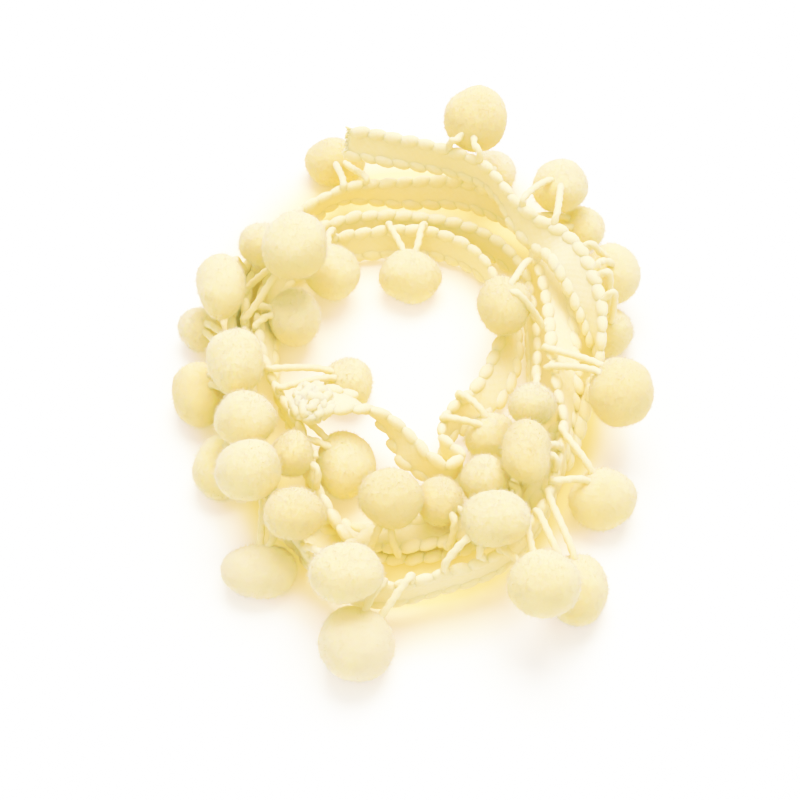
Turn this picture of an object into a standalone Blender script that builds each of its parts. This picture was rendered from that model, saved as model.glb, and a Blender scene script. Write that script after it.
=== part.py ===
"""Pompom fringe trim: a gimp braid with pompoms on yarn legs, lying in a loose ring of about four turns.

The braid runs clockwise, seen from above: it starts at the cut end that rests high at the back, makes
three turns, each inside the one before, turns back on itself in a tight bend at the inner right and ends
in a frayed bunch over the left of the ring. It stands on its plain edge for most of the way. The pompoms
hang from its other edge, the rim, on two yarn legs each, and lie beside, under and over the turns.
"""
import math
from collections import namedtuple

import bmesh
import bpy
from mathutils import Matrix, Vector

# Driving dimensions in millimetres; MM turns them into metres.
MM = 0.001
BRAID_WIDTH = 11.0
CORD_WIDTH = 2.4          # corded edge on either side of the flat middle
CORD_THICK = 2.2
WEB_THICK = 1.3           # woven middle of the braid
STEPS_PER_ROW = 2         # braid sections between two rows of the tables below
LEG_RADIUS = 0.95
LEG_STEPS = 5
GAP = 0.5                 # what a leg's end stays off the rim
LEG_STUB = 0.5            # how far a leg runs straight off the rim
LEG_SINK = 1.4            # how deep a leg runs into its pompom
LEG_SPLAY = 0.22          # how far apart the two legs enter the pompom
LEG_ARRIVAL = 2.5         # length of the leg's straight arrival at the pompom
POMPOM_SEGMENTS = 10
POMPOM_RINGS = 7
SETTLE = 0.4              # a lying pompom is pressed flat by this much
FLAT_ZONE = 1.0           # what lies lower than this on a lying pompom is pressed to the surface
FRAY_SIZE = (13.0, 13.0, 8.5)
FRAY_LUMP = 0.14

OBJECT_NAME = "pompom_fringe_trim"
YARN_COLOUR = (0.93, 0.84, 0.52, 1.0)
PILE_COLOUR = (0.95, 0.88, 0.60, 1.0)

# The rim's way round the ring: its place, its height over the surface and the braid's lean in degrees.
# 0 stands upright on the plain edge, 90 lies flat with the rim to the left of the way the braid runs.
Row = namedtuple("Row", "x y rim lean")

FIRST_TURN_BACK = (
    # x, y, rim, lean
    Row(-14.5, 83.0, 28.5, 18),
    Row(-7.0, 81.0, 29.0, 18),
    Row(0.0, 78.5, 29.5, 15),
    Row(8.5, 75.5, 30.0, 8),
    Row(16.0, 72.0, 30.5, 2),
    Row(22.5, 67.5, 31.0, -3),
    Row(28.0, 60.0, 31.0, -3),
    Row(33.0, 53.0, 30.0, 8),
)
FIRST_TURN_RIGHT = (
    Row(39.5, 49.0, 28.5, 25),
    Row(45.5, 46.0, 27.5, 48),
    Row(50.0, 40.0, 27.0, 58),
    Row(53.0, 31.5, 26.0, 46),
    Row(54.5, 23.5, 25.0, 34),
    Row(54.0, 15.5, 23.0, 18),
    Row(53.0, 9.5, 19.0, 5),
    Row(51.0, 2.5, 15.0, 10),
    Row(49.5, -4.0, 11.0, 35),
    Row(47.5, -11.0, 7.0, 65),
)
FIRST_TURN_FRONT = (
    Row(43.5, -18.0, 3.6, 85),
    Row(36.5, -26.5, 2.4, 93),
    Row(27.0, -35.0, 2.0, 94),
    Row(18.0, -41.0, 2.2, 93),
    Row(7.5, -44.0, 2.6, 90),
    Row(-2.5, -44.5, 2.6, 90),
    Row(-11.5, -44.0, 2.6, 90),
    Row(-19.0, -44.0, 2.8, 85),
    Row(-25.5, -43.5, 6.0, 60),
    Row(-30.5, -39.0, 10.0, 30),
)
FIRST_TURN_LEFT = (
    Row(-34.5, -31.5, 12.2, 12),
    Row(-38.0, -20.5, 12.3, 5),
    Row(-42.0, -5.0, 12.3, 5),
    Row(-45.0, 9.5, 12.3, 5),
    Row(-46.0, 24.5, 12.3, 5),
    Row(-44.5, 39.5, 13.0, 10),
    Row(-40.5, 51.5, 13.5, 14),
    Row(-35.0, 59.5, 14.0, 16),
)
SECOND_TURN_BACK = (
    Row(-28.5, 65.0, 14.0, 6),
    Row(-21.5, 69.5, 14.3, -12),
    Row(-14.5, 73.0, 14.5, -15),
    Row(-5.5, 75.0, 14.3, 0),
    Row(5.5, 76.5, 14.0, 15),
    Row(15.5, 75.5, 15.0, 12),
    Row(24.0, 70.5, 16.5, 3),
    Row(30.5, 63.0, 17.5, -8),
)
SECOND_TURN_RIGHT = (
    Row(34.5, 53.0, 17.0, -26),
    Row(37.0, 42.0, 16.5, -48),
    Row(38.5, 30.5, 16.0, -60),
    Row(39.0, 18.0, 16.5, -60),
    Row(39.5, 8.0, 17.0, -55),
    Row(40.5, 0.5, 17.0, -40),
    Row(42.0, -7.5, 17.0, -18),
    Row(42.0, -14.0, 16.5, -8),
    Row(40.0, -23.0, 16.0, -4),
    Row(38.0, -30.5, 16.0, 0),
)
SECOND_TURN_FRONT = (
    Row(34.0, -38.0, 16.0, 0),
    Row(28.0, -46.0, 16.0, 0),
    Row(20.0, -51.0, 16.0, 0),
    Row(10.0, -54.5, 16.0, 0),
    Row(0.0, -57.5, 16.0, 0),
    Row(-9.5, -57.5, 15.5, 0),
    Row(-17.5, -54.5, 15.0, 5),
    Row(-24.0, -46.5, 14.5, 5),
)
SECOND_TURN_LEFT = (
    Row(-29.5, -36.0, 14.0, 5),
    Row(-34.0, -24.0, 13.0, 5),
    Row(-37.0, -13.5, 13.0, 5),
    Row(-39.5, -0.5, 13.0, 5),
    Row(-41.5, 15.5, 13.0, 5),
    Row(-42.5, 31.0, 13.0, 8),
    Row(-40.5, 44.0, 13.0, 10),
    Row(-34.0, 54.0, 13.0, 12),
)
THIRD_TURN_BACK = (
    Row(-23.0, 60.0, 12.5, 12),
    Row(-14.0, 64.0, 12.5, 15),
    Row(-4.0, 65.0, 12.5, 15),
    Row(7.0, 64.0, 12.5, 12),
    Row(18.5, 61.0, 12.5, 8),
    Row(27.5, 55.0, 12.5, 0),
    Row(34.0, 45.5, 12.5, -6),
)
THIRD_TURN_RIGHT = (
    Row(36.5, 33.5, 12.3, 6),
    Row(37.5, 19.5, 12.3, 10),
    Row(36.5, 6.5, 12.3, 6),
    Row(35.5, -8.0, 12.3, 0),
    Row(33.5, -20.5, 12.3, 5),
    Row(29.5, -30.5, 12.0, 20),
)
THIRD_TURN_FRONT = (
    Row(22.5, -37.5, 10.0, 55),
    Row(12.0, -42.0, 8.0, 77),
    Row(2.5, -43.5, 7.3, 80),
    Row(-5.5, -43.5, 7.3, 74),
    Row(-12.0, -43.0, 9.0, 52),
    Row(-16.5, -37.5, 11.0, 25),
    Row(-18.5, -33.0, 12.3, 10),
    Row(-21.0, -28.0, 12.4, 5),
)
THIRD_TURN_LEFT = (
    Row(-23.5, -23.0, 12.4, 5),
    Row(-24.5, -17.0, 12.4, 0),
    Row(-26.0, -9.0, 12.4, 0),
    Row(-29.5, -2.0, 12.4, 0),
    Row(-33.0, 4.5, 12.4, 5),
    Row(-36.5, 13.0, 12.4, 15),
    Row(-39.0, 24.5, 12.4, 28),
    Row(-38.5, 36.5, 12.4, 25),
    Row(-34.0, 46.5, 12.4, 15),
    Row(-26.0, 53.5, 12.4, 10),
)
INNER_TURN = (
    Row(-15.5, 57.5, 12.3, 12),
    Row(-3.0, 59.5, 12.3, 14),
    Row(8.5, 59.0, 12.3, 12),
    Row(18.0, 54.5, 12.3, 5),
    Row(24.5, 46.5, 12.3, -5),
    Row(27.0, 35.0, 12.3, -24),
    Row(26.5, 23.5, 11.5, -40),
    Row(23.0, 13.0, 11.0, -50),
    Row(19.0, 5.5, 11.0, -42),
    Row(14.5, 0.0, 12.0, -22),
)
TURN_BACK = (
    Row(11.5, -6.0, 13.5, -8),
    Row(11.0, -12.5, 14.5, 0),
    Row(13.5, -16.0, 15.5, 0),
    Row(15.5, -19.5, 16.5, 0),
    Row(13.0, -22.5, 17.0, -4),
    Row(9.0, -21.5, 17.8, -12),
)
LOOSE_END = (
    Row(5.0, -17.0, 18.8, -28),
    Row(0.0, -12.6, 20.0, -3),
    Row(-5.2, -10.3, 21.5, 24),
    Row(-10.4, -10.8, 22.5, 58),
    Row(-15.5, -11.8, 23.0, 75),
    Row(-20.0, -12.3, 23.0, 75),
)
BRAID_ROUTE = (
    FIRST_TURN_BACK + FIRST_TURN_RIGHT + FIRST_TURN_FRONT + FIRST_TURN_LEFT
    + SECOND_TURN_BACK + SECOND_TURN_RIGHT + SECOND_TURN_FRONT + SECOND_TURN_LEFT
    + THIRD_TURN_BACK + THIRD_TURN_RIGHT + THIRD_TURN_FRONT + THIRD_TURN_LEFT
    + INNER_TURN + TURN_BACK + LOOSE_END
)

# Pompoms: centre, length and girth, the long way's heading in degrees, and where along the rim, counted
# in millimetres from the high cut end, the two legs leave it. "spread" is the legs' distance there,
# "rise" how far they stand up before they bend, and "lift" how much they bend upwards over the pompom.
# A height of LYING puts the pompom on the surface.
Pompom = namedtuple("Pompom", "x y z length girth heading root spread rise lift")
LYING = None

POMPOMS = (
    Pompom(21.0, 81.5, 32.5, 18.5, 18.5, 0, 35, 10, 3.0, 0.4),
    Pompom(45.0, 67.0, 21.0, 16.0, 15.5, 0, 64, 10, 1.0, 0.8),
    Pompom(58.5, 40.0, 15.5, 18.5, 15.5, 90, 84, 7, 1.0, 1.5),
    Pompom(57.5, 26.5, LYING, 14.0, 14.0, 0, 94, 7, 6.5, 1.5),
    Pompom(-35.5, -49.0, LYING, 20.0, 14.0, 0, 239, 10, 1.0, 0.8),
    Pompom(-47.5, -18.0, LYING, 19.0, 13.5, 90, 261, 7, 1.0, 1.5),
    Pompom(-53.3, 4.8, LYING, 18.5, 16.0, 90, 280, 10, 1.0, 1.5),
    Pompom(-55.0, 28.0, LYING, 12.5, 12.5, 0, 291, 7, 1.0, 0.8),
    Pompom(-48.0, 30.5, 21.5, 19.5, 14.5, 90, 316, 7, 1.0, 0.4),
    Pompom(-19.0, 89.0, LYING, 18.0, 14.0, 0, 364, 7, 1.0, 0.4),
    Pompom(27.0, 84.0, LYING, 14.0, 14.0, 0, 400, 10, 1.0, 1.5),
    Pompom(51.5, 62.5, LYING, 14.5, 14.5, 0, 423, 7, 2.0, 0.8),
    Pompom(28.0, 25.0, 20.5, 17.5, 14.5, 90, 445, 22, 1.0, 3.0),
    Pompom(57.6, -3.4, 20.5, 19.0, 17.0, 90, 467, 7, 1.0, 0.8),
    Pompom(32.2, -24.0, 23.0, 18.5, 13.0, 90, 499, 7, 1.0, 0.4),
    Pompom(52.5, -28.0, LYING, 18.0, 16.5, 0, 498, 16, 1.0, 0.8),
    Pompom(44.5, -55.3, LYING, 19.5, 16.0, 90, 513, 7, 1.0, 0.8),
    Pompom(23.5, -44.5, 24.5, 17.5, 14.5, 0, 541, 10, 1.0, 0.4),
    Pompom(35.0, -61.5, 22.0, 18.0, 17.0, 0, 526, 10, 1.0, 0.0),
    Pompom(-10.5, -71.0, LYING, 19.5, 19.0, 0, 558, 7, 4.5, 0.4),
    Pompom(-13.0, -60.0, 24.5, 18.5, 15.0, 0, 580, 10, 3.0, 0.0),
    Pompom(-26.0, -42.0, 23.0, 15.5, 14.0, 0, 600, 7, 1.0, 0.4),
    Pompom(-38.0, -31.0, 26.0, 17.5, 16.0, 0, 612, 10, 1.0, 0.0),
    Pompom(-39.5, -13.5, 22.5, 16.5, 15.5, 0, 631, 7, 1.0, 0.4),
    Pompom(-43.0, 4.5, 23.0, 18.5, 15.0, 90, 649, 7, 2.0, 0.0),
    Pompom(-28.0, 36.5, 32.0, 19.0, 18.0, 90, 666, 10, 1.0, 0.0),
    Pompom(-37.5, 45.0, 21.5, 13.5, 13.0, 0, 693, 10, 1.0, 0.4),
    Pompom(34.5, -7.5, 20.5, 13.0, 12.0, 0, 814, 10, 3.0, 0.0),
    Pompom(22.0, -26.0, 13.0, 13.5, 13.0, 0, 843, 7, 2.0, 0.4),
    Pompom(10.5, -33.0, 14.5, 13.5, 12.0, 90, 864, 10, 1.0, 0.8),
    Pompom(-2.5, -36.5, 21.5, 16.5, 15.5, 0, 885, 7, 1.0, 0.4),
    Pompom(-27.5, -21.5, 19.0, 13.0, 11.5, 90, 917, 10, 1.0, 0.8),
    Pompom(-14.2, -17.7, LYING, 18.5, 16.0, 90, 931, 10, 1.0, 0.8),
    Pompom(-28.6, 29.0, 10.5, 16.5, 15.0, 90, 970, 7, 1.0, 0.4),
    Pompom(-19.0, 44.5, 10.5, 15.5, 15.5, 0, 1004, 10, 1.0, 0.8),
    Pompom(3.0, 45.5, LYING, 18.0, 15.5, 0, 1030, 10, 1.0, 0.8),
    Pompom(24.3, -8.3, LYING, 14.5, 14.0, 0, 1111, 10, 1.0, 1.5),
    Pompom(-14.0, 9.5, LYING, 15.0, 13.5, 90, 948, 7, 1.0, 0.8),
)


def clear_scene():
    """Remove whatever the open file holds, so that the model starts empty."""
    for thing in list(bpy.data.objects):
        bpy.data.objects.remove(thing, do_unlink=True)


def make_material(name, colour, roughness):
    """Return a dyed yarn material."""
    material = bpy.data.materials.new(name)
    material.use_nodes = True
    shader = material.node_tree.nodes["Principled BSDF"]
    shader.inputs["Base Color"].default_value = colour
    shader.inputs["Roughness"].default_value = roughness
    shader.inputs["Metallic"].default_value = 0.0
    return material


def between(knots, before, start, end, after, share):
    """Return the value at a share of the way from start to end on a centripetal Catmull-Rom curve."""
    t0, t1, t2, t3 = knots
    t = t1 + (t2 - t1) * share
    a1 = before * ((t1 - t) / (t1 - t0)) + start * ((t - t0) / (t1 - t0))
    a2 = start * ((t2 - t) / (t2 - t1)) + end * ((t - t1) / (t2 - t1))
    a3 = end * ((t3 - t) / (t3 - t2)) + after * ((t - t2) / (t3 - t2))
    b1 = a1 * ((t2 - t) / (t2 - t0)) + a2 * ((t - t0) / (t2 - t0))
    b2 = a2 * ((t3 - t) / (t3 - t1)) + a3 * ((t - t1) / (t3 - t1))
    return b1 * ((t2 - t) / (t2 - t1)) + b2 * ((t - t1) / (t2 - t1))


def smooth_route(rows, steps):
    """Return (rim point, lean) pairs, steps of them from each row to the next, in millimetres."""
    points = [Vector((row.x, row.y, row.rim, row.lean)) for row in rows]
    points.insert(0, points[0] * 2 - points[1])
    points.append(points[-1] * 2 - points[-2])
    route = []
    for before, start, end, after in zip(points, points[1:], points[2:], points[3:]):
        knots = [0.0]
        for one, other in ((before, start), (start, end), (end, after)):
            knots.append(knots[-1] + math.sqrt((other.xyz - one.xyz).length))
        for step in range(steps):
            route.append(between(knots, before, start, end, after, step / steps))
    route.append(points[-2])
    return [(value.xyz, math.radians(value.w)) for value in route]


class Rim:
    """The braid's rim, measured along its length."""

    def __init__(self, route):
        self.points = [point for point, lean in route]
        self.leans = [lean for point, lean in route]
        self.lengths = [0.0]
        for one, other in zip(self.points, self.points[1:]):
            self.lengths.append(self.lengths[-1] + (other - one).length)

    def at(self, length):
        """Return the rim point, the way the braid runs there and the way its width points, rim outwards."""
        index = 0
        while index < len(self.points) - 2 and self.lengths[index + 1] < length:
            index += 1
        share = (length - self.lengths[index]) / (self.lengths[index + 1] - self.lengths[index])
        one, other = self.points[index], self.points[index + 1]
        lean = self.leans[index] + (self.leans[index + 1] - self.leans[index]) * share
        along = (other - one).normalized()
        left = Vector((-along.y, along.x, 0.0)).normalized()
        width = left * math.sin(lean) + Vector((0.0, 0.0, math.cos(lean)))
        return one.lerp(other, share), along, width


def braid_section():
    """Return the braid's cross-section as a curve: thin in the middle, corded at both edges."""
    half_cord = CORD_THICK / 2
    half_web = WEB_THICK / 2
    bulge = CORD_WIDTH * 0.42
    side = ((half_cord, bulge), (half_web, CORD_WIDTH), (half_web, BRAID_WIDTH - CORD_WIDTH),
            (half_cord, BRAID_WIDTH - bulge))
    outline = [(0.0, 0.0)]
    outline += [(across, down) for across, down in side]
    outline.append((0.0, BRAID_WIDTH))
    outline += [(-across, down) for across, down in reversed(side)]
    curve = bpy.data.curves.new("braid_section", "CURVE")
    curve.dimensions = "2D"
    spline = curve.splines.new("POLY")
    spline.points.add(len(outline) - 1)
    for point, (across, down) in zip(spline.points, outline):
        point.co = (across * MM, -down * MM, 0.0, 1.0)
    spline.use_cyclic_u = True
    return bpy.data.objects.new("braid_section", curve)


def curve_to_mesh(guide, name, collection):
    """Turn a curve object into a closed mesh object and remove the curve."""
    bpy.context.view_layer.update()
    evaluated = guide.evaluated_get(bpy.context.evaluated_depsgraph_get())
    mesh = bpy.data.meshes.new_from_object(evaluated)
    mesh.name = name
    shape = bmesh.new()
    shape.from_mesh(mesh)
    bmesh.ops.remove_doubles(shape, verts=shape.verts, dist=0.02 * MM)
    bmesh.ops.recalc_face_normals(shape, faces=shape.faces)
    shape.to_mesh(mesh)
    shape.free()
    made = bpy.data.objects.new(name, mesh)
    made.matrix_world = guide.matrix_world
    collection.objects.link(made)
    bpy.data.objects.remove(guide, do_unlink=True)
    return made


def union(target, others):
    """Fuse the other mesh objects into the target, one by one, and remove them."""
    for other in others:
        fuse = target.modifiers.new("fuse", "BOOLEAN")
        fuse.operation = "UNION"
        fuse.object = other
        bpy.context.view_layer.update()
        evaluated = target.evaluated_get(bpy.context.evaluated_depsgraph_get())
        mesh = bpy.data.meshes.new_from_object(evaluated)
        target.modifiers.clear()
        target.data = mesh
        bpy.data.objects.remove(other, do_unlink=True)


def make_frayed_end(rim, collection):
    """Return the lumpy bunch in which the loose end's yarns come apart."""
    end, along, width = rim.at(rim.lengths[-1])
    shape = bmesh.new()
    bmesh.ops.create_icosphere(shape, subdivisions=2, radius=0.5 * MM)
    for vertex in shape.verts:
        way = vertex.co.normalized()
        lump = 1.0 + FRAY_LUMP * math.sin(7.0 * way.x + 2.0) * math.cos(6.0 * way.y + 5.0 * way.z)
        vertex.co = Vector([value * size * lump for value, size in zip(vertex.co, FRAY_SIZE)])
    mesh = bpy.data.meshes.new("frayed_end")
    shape.to_mesh(mesh)
    shape.free()
    bunch = bpy.data.objects.new("frayed_end", mesh)
    bunch.location = (end - width * BRAID_WIDTH * 0.45 + along * FRAY_SIZE[0] * 0.25) * MM
    collection.objects.link(bunch)
    return bunch


def make_braid(rim, collection, material):
    """Sweep the section along the rim's route and fuse the frayed end to it."""
    section = braid_section()
    collection.objects.link(section)
    curve = bpy.data.curves.new("braid_route", "CURVE")
    curve.dimensions = "3D"
    curve.twist_mode = "Z_UP"
    curve.bevel_mode = "OBJECT"
    curve.bevel_object = section
    curve.use_fill_caps = True
    spline = curve.splines.new("POLY")
    spline.points.add(len(rim.points) - 1)
    for point, place, lean in zip(spline.points, rim.points, rim.leans):
        point.co = (place.x * MM, place.y * MM, place.z * MM, 1.0)
        point.tilt = -lean
    route = bpy.data.objects.new("braid_route", curve)
    collection.objects.link(route)
    braid = curve_to_mesh(route, "braid", collection)
    bpy.data.objects.remove(section, do_unlink=True)
    union(braid, [make_frayed_end(rim, collection)])
    braid.data.materials.clear()
    braid.data.materials.append(material)
    return braid


def leg_route(start, width, rise, entry, arrival):
    """Return a leg's points: straight off the rim, then over in one bend and straight into its pompom."""
    foot = start + width * LEG_STUB
    points = [start]
    for step in range(LEG_STEPS + 1):
        t = step / LEG_STEPS
        points.append(foot * (1 - t) ** 3 + (foot + width * rise) * (3 * t * (1 - t) ** 2)
                      + arrival * (3 * t * t * (1 - t)) + entry * t ** 3)
    return points


def surface_distance(row, way):
    """Return how far a pompom's skin is from its centre in the direction way."""
    heading = math.radians(row.heading)
    share = way.x * math.cos(heading) + way.y * math.sin(heading)
    across = math.sqrt(max(0.0, 1.0 - share * share))
    return 1.0 / math.hypot(share / (row.length / 2), across / (row.girth / 2))


def make_leg(name, row, centre, pole, side, rim, collection):
    """Return one yarn leg, from the rim down into its pompom, as a four-sided tube."""
    start, along, width = rim.at(row.root + side * row.spread / 2)
    start = start + width * GAP
    splay = side * along
    splay = (splay - pole * splay.dot(pole)).normalized()
    way = (pole + splay * LEG_SPLAY).normalized()
    reach = surface_distance(row, way)
    entry = centre + way * (reach - LEG_SINK)
    arrival = centre + way * (reach + LEG_ARRIVAL)
    points = leg_route(start, width, row.rise, entry, arrival)
    curve = bpy.data.curves.new(name, "CURVE")
    curve.dimensions = "3D"
    curve.bevel_depth = LEG_RADIUS * MM
    curve.bevel_resolution = 0
    curve.use_fill_caps = True
    spline = curve.splines.new("POLY")
    spline.points.add(len(points) - 1)
    for point, place in zip(spline.points, points):
        point.co = (place.x * MM, place.y * MM, place.z * MM, 1.0)
    leg = bpy.data.objects.new(name, curve)
    collection.objects.link(leg)
    return curve_to_mesh(leg, name + "_mesh", collection)


def make_pompom(number, row, rim, collection, material):
    """Return one pompom with its two legs fused to it."""
    height = row.girth / 2 - SETTLE if row.z is LYING else row.z
    centre = Vector((row.x, row.y, height))
    shape = bmesh.new()
    bmesh.ops.create_uvsphere(shape, u_segments=POMPOM_SEGMENTS, v_segments=POMPOM_RINGS, radius=0.5)
    stretch = Matrix.Diagonal((row.length, row.girth, row.girth, 1.0))
    turn = Matrix.Rotation(math.radians(row.heading), 4, "Z")
    bmesh.ops.transform(shape, matrix=Matrix.Scale(MM, 4) @ turn @ stretch, verts=shape.verts)
    if row.z is LYING:
        for vertex in shape.verts:
            if vertex.co.z < (FLAT_ZONE - height) * MM:
                vertex.co.z = -height * MM
    name = f"pompom_{number:02d}"
    mesh = bpy.data.meshes.new(name)
    shape.to_mesh(mesh)
    shape.free()
    ball = bpy.data.objects.new(name, mesh)
    ball.location = centre * MM
    collection.objects.link(ball)
    root = rim.at(row.root)[0]
    pole = ((root - centre).normalized() + Vector((0.0, 0.0, row.lift))).normalized()
    legs = [make_leg(f"{name}_leg_{side}", row, centre, pole, side, rim, collection) for side in (-1, 1)]
    union(ball, legs)
    ball.data.materials.clear()
    ball.data.materials.append(material)
    ball.data.shade_smooth()
    ball.data.set_sharp_from_angle(angle=math.radians(60))
    return ball


def centre_on_origin(parts):
    """Move everything so that the middle of its outline's box stands on the origin."""
    bpy.context.view_layer.update()
    corners = [part.matrix_world @ vertex.co for part in parts for vertex in part.data.vertices]
    low = Vector([min(corner[axis] for corner in corners) for axis in range(3)])
    high = Vector([max(corner[axis] for corner in corners) for axis in range(3)])
    shift = Vector((-(low.x + high.x) / 2, -(low.y + high.y) / 2, -low.z))
    for part in parts:
        part.location += shift
    print("moved by", [round(value / MM, 2) for value in shift], "mm")
    print("size", [round(value / MM, 2) for value in high - low], "mm")


def main():
    """Build the braid and its pompoms."""
    clear_scene()
    collection = bpy.data.collections.new(OBJECT_NAME)
    bpy.context.scene.collection.children.link(collection)
    yarn = make_material("braid_yarn", YARN_COLOUR, 0.85)
    pile = make_material("pompom_pile", PILE_COLOUR, 0.95)
    rim = Rim(smooth_route(BRAID_ROUTE, STEPS_PER_ROW))
    parts = [make_braid(rim, collection, yarn)]
    for number, row in enumerate(POMPOMS, start=1):
        parts.append(make_pompom(number, row, rim, collection, pile))
    centre_on_origin(parts)


main()
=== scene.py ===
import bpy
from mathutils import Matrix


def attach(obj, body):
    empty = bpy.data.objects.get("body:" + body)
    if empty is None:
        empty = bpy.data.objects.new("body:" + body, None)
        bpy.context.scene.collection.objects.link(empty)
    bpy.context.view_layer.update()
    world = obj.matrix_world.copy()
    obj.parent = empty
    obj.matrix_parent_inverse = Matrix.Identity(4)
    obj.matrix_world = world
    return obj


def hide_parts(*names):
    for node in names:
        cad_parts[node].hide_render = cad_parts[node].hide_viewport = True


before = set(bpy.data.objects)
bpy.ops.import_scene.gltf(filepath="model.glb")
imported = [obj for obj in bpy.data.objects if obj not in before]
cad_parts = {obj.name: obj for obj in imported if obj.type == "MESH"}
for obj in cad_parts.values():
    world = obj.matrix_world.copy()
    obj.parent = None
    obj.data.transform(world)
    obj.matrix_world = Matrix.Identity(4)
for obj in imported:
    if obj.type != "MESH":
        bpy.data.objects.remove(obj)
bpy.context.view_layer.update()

"""Pompom fringe trim, dressed on its solids: the gimp braid with its corded edges, the pompoms'
pile, the yarn legs and the frayed end, on a pale studio floor.

Lengths of the trim are in millimetres, as in the tables of the route and of the pompoms. Meshes,
finishes and the studio are in metres.
"""
import enum
import logging
import math
import random
from dataclasses import dataclass, field
from typing import NamedTuple, Optional, Sequence

import bpy
import numpy as np
from mathutils import Vector

LOG = logging.getLogger("pompom_fringe")
MM = 0.001
ROOT = "root"
YARN_SLOT = "braid_yarn"
PILE_SLOT = "pompom_pile"
BRAID_WIDTH = 11.0
CENTRE_SHIFT = Vector((-2.48, -7.78, 0.0))  # from the tables' origin to the ring's middle
LYING = None  # the height of a pompom that lies on the floor
ANY_PHASE = (0.0, 6.28)  # where a yarn's twist may start, in radians


class Row(NamedTuple):
    """One place on the rim, the braid's fringe edge: its height and the braid's lean in degrees."""

    x: float
    y: float
    rim: float
    lean: float


class Pompom(NamedTuple):
    """One pompom: its centre, size and heading, its place along the rim and how its legs run."""

    x: float
    y: float
    z: Optional[float]
    length: float
    girth: float
    heading: float
    root: float
    spread: float
    rise: float
    lift: float


FIRST_TURN = (
    (-14.5, 83.0, 28.5, 18), (-7.0, 81.0, 29.0, 18), (0.0, 78.5, 29.5, 15),
    (8.5, 75.5, 30.0, 8), (16.0, 72.0, 30.5, 2), (22.5, 67.5, 31.0, -3),
    (28.0, 60.0, 31.0, -3), (33.0, 53.0, 30.0, 8), (39.5, 49.0, 28.5, 25),
    (45.5, 46.0, 27.5, 48), (50.0, 40.0, 27.0, 58), (53.0, 31.5, 26.0, 46),
    (54.5, 23.5, 25.0, 34), (54.0, 15.5, 23.0, 18), (53.0, 9.5, 19.0, 5),
    (51.0, 2.5, 15.0, 10), (49.5, -4.0, 11.0, 35), (47.5, -11.0, 7.0, 65),
    (43.5, -18.0, 3.6, 85), (36.5, -26.5, 2.4, 93), (27.0, -35.0, 2.0, 94),
    (18.0, -41.0, 2.2, 93), (7.5, -44.0, 2.6, 90), (-2.5, -44.5, 2.6, 90),
    (-11.5, -44.0, 2.6, 90), (-19.0, -44.0, 2.8, 85), (-25.5, -43.5, 6.0, 60),
    (-30.5, -39.0, 10.0, 30), (-34.5, -31.5, 12.2, 12), (-38.0, -20.5, 12.3, 5),
    (-42.0, -5.0, 12.3, 5), (-45.0, 9.5, 12.3, 5), (-46.0, 24.5, 12.3, 5),
    (-44.5, 39.5, 13.0, 10), (-40.5, 51.5, 13.5, 14), (-35.0, 59.5, 14.0, 16),
)
SECOND_TURN = (
    (-28.5, 65.0, 14.0, 6), (-21.5, 69.5, 14.3, -12), (-14.5, 73.0, 14.5, -15),
    (-5.5, 75.0, 14.3, 0), (5.5, 76.5, 14.0, 15), (15.5, 75.5, 15.0, 12),
    (24.0, 70.5, 16.5, 3), (30.5, 63.0, 17.5, -8), (34.5, 53.0, 17.0, -26),
    (37.0, 42.0, 16.5, -48), (38.5, 30.5, 16.0, -60), (39.0, 18.0, 16.5, -60),
    (39.5, 8.0, 17.0, -55), (40.5, 0.5, 17.0, -40), (42.0, -7.5, 17.0, -18),
    (42.0, -14.0, 16.5, -8), (40.0, -23.0, 16.0, -4), (38.0, -30.5, 16.0, 0),
    (34.0, -38.0, 16.0, 0), (28.0, -46.0, 16.0, 0), (20.0, -51.0, 16.0, 0),
    (10.0, -54.5, 16.0, 0), (0.0, -57.5, 16.0, 0), (-9.5, -57.5, 15.5, 0),
    (-17.5, -54.5, 15.0, 5), (-24.0, -46.5, 14.5, 5), (-29.5, -36.0, 14.0, 5),
    (-34.0, -24.0, 13.0, 5), (-37.0, -13.5, 13.0, 5), (-39.5, -0.5, 13.0, 5),
    (-41.5, 15.5, 13.0, 5), (-42.5, 31.0, 13.0, 8), (-40.5, 44.0, 13.0, 10),
    (-34.0, 54.0, 13.0, 12),
)
THIRD_TURN = (
    (-23.0, 60.0, 12.5, 12), (-14.0, 64.0, 12.5, 15), (-4.0, 65.0, 12.5, 15),
    (7.0, 64.0, 12.5, 12), (18.5, 61.0, 12.5, 8), (27.5, 55.0, 12.5, 0),
    (34.0, 45.5, 12.5, -6), (36.5, 33.5, 12.3, 6), (37.5, 19.5, 12.3, 10),
    (36.5, 6.5, 12.3, 6), (35.5, -8.0, 12.3, 0), (33.5, -20.5, 12.3, 5),
    (29.5, -30.5, 12.0, 20), (22.5, -37.5, 10.0, 55), (12.0, -42.0, 8.0, 77),
    (2.5, -43.5, 7.3, 80), (-5.5, -43.5, 7.3, 74), (-12.0, -43.0, 9.0, 52),
    (-16.5, -37.5, 11.0, 25), (-18.5, -33.0, 12.3, 10), (-21.0, -28.0, 12.4, 5),
    (-23.5, -23.0, 12.4, 5), (-24.5, -17.0, 12.4, 0), (-26.0, -9.0, 12.4, 0),
    (-29.5, -2.0, 12.4, 0), (-33.0, 4.5, 12.4, 5), (-36.5, 13.0, 12.4, 15),
    (-39.0, 24.5, 12.4, 28), (-38.5, 36.5, 12.4, 25), (-34.0, 46.5, 12.4, 15),
    (-26.0, 53.5, 12.4, 10),
)
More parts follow.
